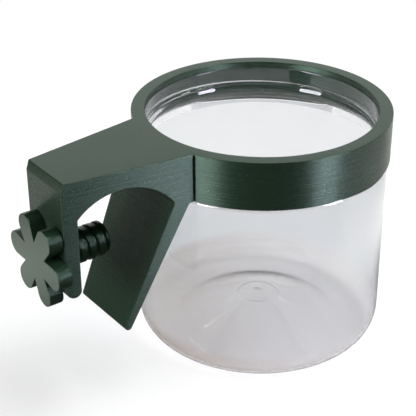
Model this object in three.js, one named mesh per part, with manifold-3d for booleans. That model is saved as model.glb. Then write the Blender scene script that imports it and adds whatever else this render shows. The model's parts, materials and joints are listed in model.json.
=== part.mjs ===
// A potter's tool cup: a clear jar screws up into the collar of a printed clamp bracket, and a petal
// thumbscrew clamps the bracket to the rim of a wheel's splash pan.
//
// Millimetres, +Z up. The model is drawn with the collar's axis on Z, the collar's top face at
// z = 0 and the arm along +X, and the last group turns and moves it: the jar's foot then stands on
// z = 0, the arm points along -X, and X = 0 is halfway between the knob and the far side of the collar.

import * as THREE from 'three';
import { mergeVertices } from 'three/addons/utils/BufferGeometryUtils.js';
import Module from 'manifold-3d';

const wasm = await Module();
wasm.setup();

// Running clearances
const splitGap = 0.3;
const seatGap = 0.3;
const crestGap = 0.35;
const flankGap = 0.36;

// Jar
const jarRadius = 45.2;
const jarHeight = 85.3;
const jarWall = 0.75;
const heelRadius = 10;
const footWidth = 2.2;
const floorRise = 10.8;
const floorThickness = 0.9;
const gateRadius = 7.9;
const gateStep = 0.5;
const shoulderStep = 2.4;
const shoulderRadius = 2.6;

// Jar neck and its one-turn thread
const neckHeight = 14.5;
const neckWall = 1.4;
const rimRounding = 0.4;
const neckThreadPitch = 5.08;
const neckThreadHeight = 1.45;
const neckThreadRootWidth = 2.6;
const neckThreadCrestWidth = 1.5;
const neckThreadTurns = 1;
const neckThreadFade = THREE.MathUtils.degToRad(20);

// Collar
const collarWall = 1.4;
const lipThickness = 2.2;
const lipOverhang = 0.25;
const jarSideGap = 0.5;

// Arm and jaws
const armReach = 41.75;
const armThickness = 6.6;
const armHalfWidthAtFace = 11;
const armTaper = THREE.MathUtils.degToRad(8.77);
const jawThickness = 5;
const jawDepth = 41.8;
const browWidth = 1.1;
const browHeight = 3.1;
const archRadius = 21;
const archSetback = 15.8;
const throatFillet = 3;
const tipDepth = 60.2;
const tipRadius = 1.25;
const tipToJaw = 15.6;
const clampFaceLean = THREE.MathUtils.degToRad(23.9);
const ringSideLean = THREE.MathUtils.degToRad(27.6);
const ringCornerFillet = 1;
const reliefRadius = 0.55;
const reliefRoof = 0.4;

// Thumbscrew
const screwDrop = 30.1;
const screwCoreRadius = 4.9;
const screwThreadPitch = 3.5;
const screwThreadHeight = 1;
const screwThreadRootWidth = 2.3;
const screwThreadCrestWidth = 1.5;
const screwThreadFade = THREE.MathUtils.degToRad(30);
const screwThreadLead = 0.5;
const screwReach = 15.7;
const noseLength = 1.6;
const noseChamfer = 0.7;
const knobThickness = 5.05;
const knobChamfer = 0.4;
const petalCount = 6;
const petalRadius = 16;
const petalHalfWidth = 4.2;
const notchRadius = 7.4;
const petalTurn = THREE.MathUtils.degToRad(-6);

// Facets
const ringSteps = 60;
const screwSteps = 20;
const reliefSteps = 10;
const archSteps = 18;
const arcSteps = 8;
const heelSteps = 6;
const domeSteps = 5;
const smallSteps = 3;
const rimSteps = 2;
const threadRoot = 0.5;
const threadEndShare = 0.12;
const grooveRunOut = 1;
const weldDistance = 1e-5;
const overcut = 5;

// Levels and radii that follow from the sizes above
const rimZ = -lipThickness - seatGap;
const neckFootZ = rimZ - neckHeight;
const bodyTopZ = neckFootZ - splitGap;
const collarHeight = -bodyTopZ;
const neckThreadZ = rimZ - neckHeight / 2 + neckThreadPitch / 4 - (neckThreadTurns * neckThreadPitch) / 2;
const footZ = rimZ - jarHeight;
const neckRadius = jarRadius - shoulderStep;
const neckBoreRadius = neckRadius - neckWall;
const lipOpeningRadius = neckBoreRadius - lipOverhang;
const collarBoreRadius = neckRadius + neckThreadHeight + crestGap;
const collarRadius = collarBoreRadius + collarWall;
const jawFaceX = collarRadius + armReach;
const jawInnerX = jawFaceX - jawThickness;
const knobBackX = jawFaceX + seatGap;
const knobFrontX = knobBackX + knobThickness;
const noseX = jawInnerX - screwReach;
const shankX = noseX + noseLength + splitGap;
const screwHelixX = shankX + screwThreadLead + screwThreadRootWidth / 2;
const screwMajorRadius = screwCoreRadius + screwThreadHeight;

/** Turns a three.js geometry into a solid that can be joined and cut. */
function solidOf(geometry) {
  const bare = geometry.clone();
  bare.deleteAttribute('normal');
  bare.deleteAttribute('uv');
  const merged = mergeVertices(bare, weldDistance);
  const index = merged.index.array;
  const faces = [];
  for (let i = 0; i < index.length; i += 3) {
    const [a, b, c] = [index[i], index[i + 1], index[i + 2]];
    if (a !== b && b !== c && c !== a) {
      faces.push(a, b, c);
    }
  }
  const mesh = new wasm.Mesh({
    numProp: 3,
    vertProperties: new Float32Array(merged.attributes.position.array),
    triVerts: new Uint32Array(faces),
  });
  return new wasm.Manifold(mesh);
}

/** Turns a solid back into a geometry for a mesh. */
function geometryOf(solid) {
  const mesh = solid.getMesh();
  const geometry = new THREE.BufferGeometry();
  geometry.setAttribute('position', new THREE.BufferAttribute(mesh.vertProperties, 3));
  geometry.setIndex(new THREE.BufferAttribute(mesh.triVerts, 1));
  geometry.computeVertexNormals();
  return geometry;
}

/** Points along an arc, from one angle to another, both ends included. */
function arcPoints(x, y, radius, from, to, steps = arcSteps) {
  const points = [];
  for (let i = 0; i <= steps; i += 1) {
    const angle = from + ((to - from) * i) / steps;
    points.push(new THREE.Vector2(x + radius * Math.cos(angle), y + radius * Math.sin(angle)));
  }
  return points;
}

/** A body of revolution about Z from (radius, height) points that run anticlockwise. */
function turned(points, steps) {
  return new THREE.LatheGeometry(points, steps).rotateX(Math.PI / 2);
}

/** A plain cylinder about Z between two heights. */
function cylinder(radius, low, high, steps) {
  const profile = [
    new THREE.Vector2(0, low),
    new THREE.Vector2(radius, low),
    new THREE.Vector2(radius, high),
    new THREE.Vector2(0, high),
  ];
  return turned(profile, steps);
}

/** A straight prism: an outline in X and Y, extruded between two heights. */
function prism(shape, low, high) {
  return new THREE.ExtrudeGeometry(shape, { depth: high - low, bevelEnabled: false }).translate(0, 0, low);
}

/** Lays a geometry drawn about Z along +X: its X turns to Y and its Y to Z. */
const alongX = new THREE.Matrix4().makeBasis(
  new THREE.Vector3(0, 1, 0),
  new THREE.Vector3(0, 0, 1),
  new THREE.Vector3(1, 0, 0),
);

/** Lays a geometry along +X on the screw's axis. */
function onScrewAxis(geometry) {
  return geometry.applyMatrix4(alongX).translate(0, 0, -screwDrop);
}

/**
 * A right-handed helical rib about Z. Its section is a trapezoid, rootWidth wide at rootRadius, whose
 * flanks run on threadRoot into the wall; a crestRadius below rootRadius makes an inward rib.
 * Its middle would cross angle 0 at startZ, and it starts half a facet on from there, so that its corners
 * miss the wall's own. Over fade radians its ends sink towards the wall, to threadEndShare of its height.
 */
function helicalRib({ rootRadius, crestRadius, rootWidth, crestWidth, pitch, startZ, turns, steps, fade }) {
  const rise = crestRadius - rootRadius;
  const sunkShare = threadRoot / Math.abs(rise);
  const sunkRadius = rootRadius - sunkShare * rise;
  const sunkWidth = rootWidth + sunkShare * (rootWidth - crestWidth);
  const section = new THREE.Shape([
    new THREE.Vector2(-sunkWidth / 2, sunkRadius),
    new THREE.Vector2(sunkWidth / 2, sunkRadius),
    new THREE.Vector2(crestWidth / 2, crestRadius),
    new THREE.Vector2(-crestWidth / 2, crestRadius),
  ]);
  const count = Math.ceil(turns * steps);
  const sweep = (count * 2 * Math.PI) / steps;
  const geometry = new THREE.ExtrudeGeometry(section, { depth: sweep, steps: count, bevelEnabled: false });
  const place = geometry.attributes.position;
  for (let i = 0; i < place.count; i += 1) {
    const angle = place.getZ(i) + Math.PI / steps;
    const fromEnd = Math.min(place.getZ(i), sweep - place.getZ(i));
    const share = fade > 0 ? THREE.MathUtils.clamp(fromEnd / fade, threadEndShare, 1) : 1;
    const height = (place.getY(i) - sunkRadius) / (crestRadius - sunkRadius);
    const radius = THREE.MathUtils.lerp(sunkRadius, rootRadius + rise * share, height);
    const z = startZ + place.getX(i) + (pitch * angle) / (2 * Math.PI);
    place.setXYZ(i, radius * Math.cos(angle), radius * Math.sin(angle), z);
  }
  return geometry;
}

/** The jar below its neck: wall, heel, foot ring, domed floor with its gate ring, and shoulder. */
function jarBody() {
  const heelX = jarRadius - heelRadius;
  const footX = heelX - footWidth;
  const domeRadius = (footX ** 2 + floorRise ** 2) / (2 * floorRise);
  const domeZ = footZ + floorRise - domeRadius;
  const domeStart = Math.acos(gateRadius / domeRadius);
  const domeEnd = Math.asin((footZ - domeZ) / domeRadius);
  const outsideDome = arcPoints(0, domeZ, domeRadius, domeStart, domeEnd, domeSteps);
  const insideDome = arcPoints(0, domeZ, domeRadius + floorThickness, domeEnd, domeStart, domeSteps);
  const gateUnderZ = outsideDome[0].y + gateStep;
  const gateTopX = insideDome[insideDome.length - 1].x;
  const gateTopZ = insideDome[insideDome.length - 1].y + gateStep;
  const shoulderX = jarRadius - shoulderRadius;
  const shoulderZ = bodyTopZ - shoulderRadius;
  const innerHeel = heelRadius - jarWall;
  const innerShoulder = shoulderRadius - jarWall;
  const profile = [
    new THREE.Vector2(0, gateUnderZ),
    new THREE.Vector2(outsideDome[0].x, gateUnderZ),
    ...outsideDome,
    new THREE.Vector2(heelX, footZ),
    ...arcPoints(heelX, footZ + heelRadius, heelRadius, -Math.PI / 2, 0, heelSteps).slice(1),
    ...arcPoints(shoulderX, shoulderZ, shoulderRadius, 0, Math.PI / 2, smallSteps),
    new THREE.Vector2(neckBoreRadius, bodyTopZ),
    new THREE.Vector2(neckBoreRadius, shoulderZ + innerShoulder),
    ...arcPoints(shoulderX, shoulderZ, innerShoulder, Math.PI / 2, 0, smallSteps),
    ...arcPoints(heelX, footZ + heelRadius, innerHeel, 0, -Math.PI / 2, heelSteps),
    ...insideDome,
    new THREE.Vector2(gateTopX, gateTopZ),
    new THREE.Vector2(0, gateTopZ),
  ];
  return solidOf(turned(profile, ringSteps));
}

/** The jar's neck finish: a plain ring with a rounded rim and one turn of thread outside. */
function jarNeck() {
  const roundX = neckRadius - rimRounding;
  const roundZ = rimZ - rimRounding;
  const innerX = neckBoreRadius + rimRounding;
  const profile = [
    new THREE.Vector2(neckRadius, neckFootZ),
    ...arcPoints(roundX, roundZ, rimRounding, 0, Math.PI / 2, rimSteps),
    ...arcPoints(innerX, roundZ, rimRounding, Math.PI / 2, Math.PI, rimSteps),
    new THREE.Vector2(neckBoreRadius, neckFootZ),
    new THREE.Vector2(neckRadius, neckFootZ),
  ];
  const rib = helicalRib({
    rootRadius: neckRadius,
    crestRadius: neckRadius + neckThreadHeight,
    rootWidth: neckThreadRootWidth,
    crestWidth: neckThreadCrestWidth,
    pitch: neckThreadPitch,
    startZ: neckThreadZ,
    turns: neckThreadTurns,
    steps: ringSteps,
    fade: neckThreadFade,
  });
  return solidOf(turned(profile, ringSteps)).add(solidOf(rib));
}

/** The collar's inside: its lip opening above its bore. */
function collarInside() {
  const profile = [
    new THREE.Vector2(0, -collarHeight - overcut),
    new THREE.Vector2(collarBoreRadius, -collarHeight - overcut),
    new THREE.Vector2(collarBoreRadius, -lipThickness),
    new THREE.Vector2(lipOpeningRadius, -lipThickness),
    new THREE.Vector2(lipOpeningRadius, overcut),
    new THREE.Vector2(0, overcut),
  ];
  return turned(profile, ringSteps);
}

/** The rib inside the collar, half a pitch below the neck's own rib. */
function collarRib() {
  return helicalRib({
    rootRadius: collarBoreRadius,
    crestRadius: collarBoreRadius - neckThreadHeight,
    rootWidth: neckThreadRootWidth,
    crestWidth: neckThreadCrestWidth,
    pitch: neckThreadPitch,
    startZ: neckThreadZ - neckThreadPitch / 2,
    turns: neckThreadTurns,
    steps: ringSteps,
    fade: neckThreadFade,
  });
}

/** The side view of arm and jaws, in X and Z, anticlockwise from the collar's underside. */
function armProfile() {
  const tipX = jawInnerX - tipToJaw;
  const tipZ = -tipDepth + tipRadius;
  const archX = jawInnerX - archSetback;
  const archZ = -armThickness - archRadius;
  const archEnd = Math.acos(archSetback / archRadius);

  // Unit vectors up the clamping face, from its tip towards the arm, and out of it into the throat
  const clampUp = new THREE.Vector2(-Math.sin(clampFaceLean), Math.cos(clampFaceLean));
  const clampOut = new THREE.Vector2(Math.cos(clampFaceLean), Math.sin(clampFaceLean));

  // The throat's fillet touches the clamping face and the arch from inside the throat
  const faceOffset = tipRadius + throatFillet;
  const start = new THREE.Vector2(tipX, tipZ).addScaledVector(clampOut, faceOffset);
  const toArch = start.clone().sub(new THREE.Vector2(archX, archZ));
  const along = toArch.dot(clampUp);
  const reach = archRadius - throatFillet;
  const climb = -along + Math.sqrt(along ** 2 - toArch.lengthSq() + reach ** 2);
  const filletCentre = start.clone().addScaledVector(clampUp, climb);
  const archStart = Math.atan2(filletCentre.y - archZ, filletCentre.x - archX);

  // The corner under the collar, where the slanted jaw's back leaves the collar's underside
  const cornerZ = -collarHeight - ringCornerFillet;
  const backX = tipX - tipRadius * Math.cos(ringSideLean);
  const backZ = tipZ - tipRadius * Math.sin(ringSideLean);
  const cornerRise = cornerZ - backZ;
  const cornerX = backX - cornerRise * Math.tan(ringSideLean) - ringCornerFillet / Math.cos(ringSideLean);
  const tipEnd = 2 * Math.PI + clampFaceLean;
  const filletStart = Math.PI + clampFaceLean;
  const bottomRadius = jawThickness / 2;
  const bottomX = jawInnerX + bottomRadius;
  const bottomZ = -jawDepth + bottomRadius;
  const rootX = lipOpeningRadius;

  const points = [
    new THREE.Vector2(rootX, -collarHeight),
    ...arcPoints(cornerX, cornerZ, ringCornerFillet, Math.PI / 2, ringSideLean, smallSteps),
    ...arcPoints(tipX, tipZ, tipRadius, Math.PI + ringSideLean, tipEnd, arcSteps),
    ...arcPoints(filletCentre.x, filletCentre.y, throatFillet, filletStart, archStart, smallSteps),
    ...arcPoints(archX, archZ, archRadius, archStart, archEnd, archSteps).slice(1),
    ...arcPoints(bottomX, bottomZ, bottomRadius, Math.PI, 2 * Math.PI, arcSteps),
    new THREE.Vector2(jawFaceX, -browHeight),
    new THREE.Vector2(jawFaceX - browWidth, 0),
    new THREE.Vector2(rootX, 0),
  ];
  return new THREE.Shape(points);
}

/** Half the width of arm and jaws at a distance from the collar's axis. */
function armHalfWidth(x) {
  return armHalfWidthAtFace + (jawFaceX - x) * Math.tan(armTaper);
}

/** The plan of arm and jaws: a wedge that narrows away from the collar. */
function armPlan() {
  const farX = jawFaceX + overcut;
  return new THREE.Shape([
    new THREE.Vector2(0, -armHalfWidth(0)),
    new THREE.Vector2(farX, -armHalfWidth(farX)),
    new THREE.Vector2(farX, armHalfWidth(farX)),
    new THREE.Vector2(0, armHalfWidth(0)),
  ]);
}

/** The narrow upright grooves where the arm's sides meet the collar. */
function reliefGrooves() {
  const sideDistance = armHalfWidth(0) * Math.cos(armTaper);
  const along = Math.sqrt(collarRadius ** 2 - sideDistance ** 2);
  const x = sideDistance * Math.sin(armTaper) + along * Math.cos(armTaper);
  const y = sideDistance * Math.cos(armTaper) - along * Math.sin(armTaper);
  return [y, -y].map((side) => {
    const groove = cylinder(reliefRadius, -collarHeight - overcut, -reliefRoof, reliefSteps);
    return solidOf(groove.translate(x, side, 0));
  });
}

/**
 * The cuts of the threaded hole through the upright jaw: its bore, and a groove on the screw's own helix
 * that runs out past both faces.
 */
function jawHole() {
  const minorRadius = screwCoreRadius + crestGap;
  const firstTurn = Math.floor((jawInnerX - screwHelixX) / screwThreadPitch) - grooveRunOut;
  const lastTurn = Math.ceil((jawFaceX - screwHelixX) / screwThreadPitch) + grooveRunOut;
  const bore = cylinder(minorRadius, jawInnerX - overcut, jawFaceX + overcut, screwSteps);
  const groove = helicalRib({
    rootRadius: minorRadius,
    crestRadius: screwMajorRadius + crestGap,
    rootWidth: screwThreadRootWidth + 2 * flankGap,
    crestWidth: screwThreadCrestWidth + 2 * flankGap,
    pitch: screwThreadPitch,
    startZ: screwHelixX + firstTurn * screwThreadPitch,
    turns: lastTurn - firstTurn,
    steps: screwSteps,
    fade: 0,
  });
  return [solidOf(onScrewAxis(bore)), solidOf(onScrewAxis(groove))];
}

/** Collar, arm and both jaws, printed as one piece. */
function clampBracket() {
  const sideView = prism(armProfile(), -armHalfWidth(0), armHalfWidth(0)).rotateX(Math.PI / 2);
  const wedge = prism(armPlan(), -tipDepth - overcut, overcut);
  const jarRoom = cylinder(jarRadius + jarSideGap, -tipDepth - overcut, -collarHeight / 2, ringSteps);
  const arm = solidOf(sideView).intersect(solidOf(wedge)).subtract(solidOf(jarRoom));
  const disc = solidOf(cylinder(collarRadius, -collarHeight, 0, ringSteps));
  let solid = disc.add(arm).subtract(solidOf(collarInside()));
  for (const cut of [...reliefGrooves(), ...jawHole()]) {
    solid = solid.subtract(cut);
  }
  return solid.add(solidOf(collarRib()));
}

/** The knob's outline: round-ended petals whose sides close in to sharp notches. */
function knobOutline() {
  const points = [];
  const pitch = (2 * Math.PI) / petalCount;
  const endDistance = petalRadius - petalHalfWidth;
  for (let i = 0; i < petalCount; i += 1) {
    const middle = petalTurn + i * pitch;
    const cos = Math.cos(middle);
    const sin = Math.sin(middle);
    const notch = middle - pitch / 2;
    points.push(new THREE.Vector2(notchRadius * Math.cos(notch), notchRadius * Math.sin(notch)));
    for (const p of arcPoints(endDistance, 0, petalHalfWidth, -Math.PI / 2, Math.PI / 2, arcSteps)) {
      points.push(new THREE.Vector2(p.x * cos - p.y * sin, p.x * sin + p.y * cos));
    }
  }
  return new THREE.Shape(points);
}

/** Knob and threaded shank, printed as one piece. */
function thumbscrew() {
  const knob = new THREE.ExtrudeGeometry(knobOutline(), {
    depth: knobThickness - 2 * knobChamfer,
    bevelEnabled: true,
    bevelThickness: knobChamfer,
    bevelSize: knobChamfer,
    bevelOffset: -knobChamfer,
    bevelSegments: 1,
  });
  knob.translate(0, 0, knobBackX + knobChamfer);
  const shankEndX = knobBackX + knobThickness / 2;
  const core = cylinder(screwCoreRadius, shankX, shankEndX, screwSteps);
  const rib = helicalRib({
    rootRadius: screwCoreRadius,
    crestRadius: screwMajorRadius,
    rootWidth: screwThreadRootWidth,
    crestWidth: screwThreadCrestWidth,
    pitch: screwThreadPitch,
    startZ: screwHelixX,
    turns: (shankEndX - screwHelixX) / screwThreadPitch,
    steps: screwSteps,
    fade: screwThreadFade,
  });
  return solidOf(onScrewAxis(knob)).add(solidOf(onScrewAxis(core))).add(solidOf(onScrewAxis(rib)));
}

/** The screw's plain nose, ahead of the thread. */
function thumbscrewNose() {
  const endX = noseX + noseLength;
  const profile = [
    new THREE.Vector2(0, noseX),
    new THREE.Vector2(screwCoreRadius - noseChamfer, noseX),
    new THREE.Vector2(screwCoreRadius, noseX + noseChamfer),
    new THREE.Vector2(screwCoreRadius, endX),
    new THREE.Vector2(0, endX),
  ];
  return solidOf(onScrewAxis(turned(profile, screwSteps)));
}

const printedGreen = { color: 0x33463b, roughness: 0.5, metalness: 0 };
const clearPlastic = { color: 0xdfe4e8, roughness: 0.08, metalness: 0, transparent: true, opacity: 0.3 };

/** A named mesh with a material of its own. */
function named(name, solid, finish) {
  const mesh = new THREE.Mesh(geometryOf(solid), new THREE.MeshStandardMaterial(finish));
  mesh.name = name;
  return mesh;
}

const bracket = new THREE.Group();
bracket.add(named('clamp_bracket', clampBracket(), printedGreen));

const screw = new THREE.Group();
screw.add(named('thumbscrew', thumbscrew(), printedGreen));
screw.add(named('thumbscrew_nose', thumbscrewNose(), printedGreen));

const jar = new THREE.Group();
jar.add(named('jar_body', jarBody(), clearPlastic));
jar.add(named('jar_neck', jarNeck(), clearPlastic));

const toolCup = new THREE.Group();
toolCup.add(bracket, screw, jar);
toolCup.rotation.z = Math.PI;
toolCup.position.set((knobFrontX - collarRadius) / 2, 0, -footZ);

export default toolCup;
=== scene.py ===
"""Dresses a potter's tool cup: a clear screw-in jar in the collar of a printed bracket with a thumbscrew.

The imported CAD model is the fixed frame. Its five nodes are stood for by three pieces, as the real cup
has: the clamp bracket, the thumbscrew and the jar. Each is drawn with the collar's axis on Z, the
collar's top at z = 0 and the arm along +X, in metres, and then turned and moved onto the frame.
"""

from __future__ import annotations

import json
import logging
import math
from collections.abc import Callable, Sequence
from dataclasses import dataclass, field
from enum import Enum

import bmesh
import bpy
import numpy as np
from mathutils import Matrix, Vector

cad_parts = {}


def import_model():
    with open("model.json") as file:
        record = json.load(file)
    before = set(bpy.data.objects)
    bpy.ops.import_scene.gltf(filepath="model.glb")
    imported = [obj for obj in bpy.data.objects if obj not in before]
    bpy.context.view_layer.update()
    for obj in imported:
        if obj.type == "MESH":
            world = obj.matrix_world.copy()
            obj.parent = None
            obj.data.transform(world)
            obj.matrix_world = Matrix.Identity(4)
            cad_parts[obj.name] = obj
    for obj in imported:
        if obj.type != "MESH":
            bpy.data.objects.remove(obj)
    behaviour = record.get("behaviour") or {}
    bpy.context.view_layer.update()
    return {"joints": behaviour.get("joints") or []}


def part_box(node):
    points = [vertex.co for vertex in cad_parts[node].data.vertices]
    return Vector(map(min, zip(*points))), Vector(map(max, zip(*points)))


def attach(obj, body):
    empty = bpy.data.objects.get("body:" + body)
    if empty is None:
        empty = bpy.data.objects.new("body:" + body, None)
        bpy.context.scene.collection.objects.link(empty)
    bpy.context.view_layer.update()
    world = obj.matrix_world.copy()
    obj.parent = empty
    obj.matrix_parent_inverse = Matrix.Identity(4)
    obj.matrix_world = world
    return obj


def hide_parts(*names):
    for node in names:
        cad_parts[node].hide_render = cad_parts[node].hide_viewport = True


log = logging.getLogger("tool_cup")

MM = 0.001
QUARTER = math.pi / 2
FLAT_ANGLE = math.radians(0.1)
SAME_RADIUS = 0.05 * MM
ROWS_PER_PITCH = 24
ROD_STEPS = 120
END_SHARE = 0.25
WHITE = (1, 1, 1, 1)

Point = tuple[float, float]
Bulge = Callable[[np.ndarray, float, float], np.ndarray]


class Axis(Enum):
    """A direction of a piece's own frame."""

    X = "X"
    Y = "Y"
    Z = "Z"


class Body(Enum):
    """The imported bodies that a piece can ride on."""

    BRACKET = "bracket"
    SCREW = "screw"
    JAR_TRAVEL = "jar_travel"
    JAR = "jar"


class Slot(Enum):
    """The record's material slots."""

    PRINT = "green_print"
    CLEAR = "clear_jar"


def arc(centre: Point, radius: float, start: float, end: float, steps: int) -> list[Point]:
    """Points along an arc, both ends included.

    Args:
        centre: The arc's centre.
        radius: Its radius.
        start: The angle of its first point, in radians.
        end: The angle of its last point.
        steps: How many chords it has.

    Returns:
        steps + 1 points.
    """
    angles = np.linspace(start, end, steps + 1)
    return [(centre[0] + radius * math.cos(a), centre[1] + radius * math.sin(a)) for a in angles]


class Solid:
    """A closed mesh that is joined with + and cut with - before it becomes a piece."""

    def __init__(self, vertices: Sequence[Sequence[float]], faces: Sequence[Sequence[int]]) -> None:
        """Makes the mesh and turns its faces outwards.

        Args:
            vertices: Its points.
            faces: Its faces, as indices of points.
        """
        mesh = bpy.data.meshes.new("solid")
        mesh.from_pydata([tuple(v) for v in vertices], [], [tuple(f) for f in faces])
        self.obj = bpy.data.objects.new("solid", mesh)
        bpy.context.scene.collection.objects.link(self.obj)
        self._edit(lambda shape: bmesh.ops.recalc_face_normals(shape, faces=shape.faces))

    @classmethod
    def turned(cls, profile: Sequence[Point], steps: int, bulge: Bulge | None = None) -> Solid:
        """A body of revolution about Z.

        Args:
            profile: (radius, height) points. They start and end on the axis, or close on themselves.
            steps: How many facets go round.
            bulge: What to add to the radius, from the angles round, a radius and a height.

        Returns:
            The solid.
        """
        angles = np.arange(steps) * 2 * math.pi / steps
        vertices: list[tuple[float, float, float]] = []
        rings: list[list[int]] = []
        for radius, height in profile:
            first = len(vertices)
            if radius == 0:
                vertices.append((0.0, 0.0, height))
                rings.append([first] * steps)
                continue
            around = np.full(steps, radius) + (bulge(angles, radius, height) if bulge else 0)
            vertices.extend(zip(around * np.cos(angles), around * np.sin(angles), [height] * steps))
            rings.append(list(range(first, first + steps)))
        if profile[0][0] != 0:
            rings.append(rings[0])
        faces = []
        for low, high in zip(rings, rings[1:]):
            for i in range(steps):
                j = (i + 1) % steps
                face = [low[i], low[j], high[j], high[i]]
                faces.append([k for n, k in enumerate(face) if k not in face[:n]])
        return cls(vertices, [f for f in faces if len(f) > 2])

    @classmethod
    def between(cls, low: Sequence[Sequence[float]], high: Sequence[Sequence[float]]) -> Solid:
        """A solid between two outlines of as many points.

        Args:
            low: The points of one end.
            high: The points of the other end, in the same order.

        Returns:
            The solid.
        """
        count = len(low)
        sides = [[i, (i + 1) % count, count + (i + 1) % count, count + i] for i in range(count)]
        return cls([*low, *high], [*sides, list(range(count)), list(range(count, 2 * count))])

    @classmethod
    def cylinder(cls, radius: float, low: float, high: float, steps: int) -> Solid:
        """A plain cylinder about Z between two heights."""
        return cls.turned([(0, low), (radius, low), (radius, high), (0, high)], steps)

    def __add__(self, other: Solid) -> Solid:
        """The union of both."""
        return self._combined(other, "UNION")

    def __sub__(self, other: Solid) -> Solid:
        """What the other leaves of this one."""
        return self._combined(other, "DIFFERENCE")

    def moved(self, matrix: Matrix) -> Solid:
        """Moves the solid and returns it."""
        self.obj.data.transform(matrix)
        return self

    def bevelled(self, width: float, segments: int, angle: float) -> Solid:
        """Rounds every edge that is sharper than an angle.

        Args:
            width: How far the rounding goes from the edge.
            segments: Its facets.
            angle: The least angle between two faces, in radians.

        Returns:
            The solid itself.
        """

        def round_edges(shape: bmesh.types.BMesh) -> None:
            """Bevels the sharp edges of one mesh.

            Args:
                shape: The mesh.
            """
            bmesh.ops.dissolve_limit(
                shape, angle_limit=FLAT_ANGLE, verts=shape.verts, edges=shape.edges, delimit=set()
            )
            sharp = [e for e in shape.edges if e.is_manifold and e.calc_face_angle(0) > angle]
            bmesh.ops.bevel(
                shape,
                geom=sharp,
                offset=width,
                segments=segments,
                profile=0.5,
                affect="EDGES",
                clamp_overlap=True,
            )

        self._edit(round_edges)
        return self

    def piece(self, name: str, material: bpy.types.Material, crease: float) -> bpy.types.Object:
        """Ends the solid's making: names it, dresses it and shades it.

        Args:
            name: The piece's name.
            material: Its material.
            crease: The angle between faces above which an edge stays sharp, in radians.

        Returns:
            The piece.
        """
        self.obj.name = name
        mesh = self.obj.data
        mesh.name = name
        mesh.materials.clear()
        mesh.materials.append(material)
        mesh.polygons.foreach_set("use_smooth", [True] * len(mesh.polygons))
        mesh.set_sharp_from_angle(angle=crease)
        weights = self.obj.modifiers.new("flat faces first", "WEIGHTED_NORMAL")
        weights.keep_sharp = True
        return self.obj

    def _edit(self, change: Callable[[bmesh.types.BMesh], object]) -> None:
        """Runs a change on the mesh.

        Args:
            change: What edits it.
        """
        shape = bmesh.new()
        shape.from_mesh(self.obj.data)
        change(shape)
        shape.to_mesh(self.obj.data)
        shape.free()
        self.obj.data.update()

    def _combined(self, other: Solid, operation: str) -> Solid:
        """Joins or cuts the solid with another, which is used up.

        Args:
            other: The other solid.
            operation: The name of the Boolean operation.

        Returns:
            The solid itself.
        """
        step = self.obj.modifiers.new(operation, "BOOLEAN")
        step.operation = operation
        step.object = other.obj
        step.solver = "EXACT"
        graph = bpy.context.evaluated_depsgraph_get()
        mesh = bpy.data.meshes.new_from_object(self.obj.evaluated_get(graph))
        self.obj.modifiers.clear()
        self.obj.data = mesh
        bpy.data.objects.remove(other.obj)
        return self


@dataclass(frozen=True)
class PackedSizes:
    """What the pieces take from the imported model, drawn from the collar's axis and top."""

    ring_x: float
    top_z: float
    collar_radius: float
    collar_height: float
    jar_radius: float
    foot_z: float
    rim_z: float
    neck_foot_z: float
    jaw_face_x: float
    tip_z: float
    screw_z: float
    nose_x: float
    knob_front_x: float
    petal_radius: float

    @classmethod
    def read(cls, joints: Sequence[dict]) -> PackedSizes:
        """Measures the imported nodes.

        Args:
            joints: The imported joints, whose screw axis the jaw's hole lies on.

        Returns:
            The sizes.
        """
        bracket_low, bracket_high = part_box("clamp_bracket")
        body_low, body_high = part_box("jar_body")
        neck_low, neck_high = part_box("jar_neck")
        knob_low, knob_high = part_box("thumbscrew")
        nose_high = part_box("thumbscrew_nose")[1]
        screw = next(j for j in joints if j["name"] == "screw_turn")
        ring_x = (body_low.x + body_high.x) / 2
        top = bracket_high.z
        return cls(
            ring_x=ring_x,
            top_z=top,
            collar_radius=bracket_high.y,
            collar_height=top - body_high.z,
            jar_radius=body_high.y,
            foot_z=body_low.z - top,
            rim_z=neck_high.z - top,
            neck_foot_z=neck_low.z - top,
            jaw_face_x=ring_x - bracket_low.x,
            tip_z=bracket_low.z - top,
            screw_z=screw["pos_m"][2] - top,
            nose_x=ring_x - nose_high.x,
            knob_front_x=ring_x - knob_low.x,
            petal_radius=knob_high.y,
        )

    def placing(self) -> Matrix:
        """The move from the drawn place to the frame: the arm turns to -X, and the axes meet."""
        return Matrix.Translation((self.ring_x, 0, self.top_z)) @ Matrix.Rotation(math.pi, 4, "Z")


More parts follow.
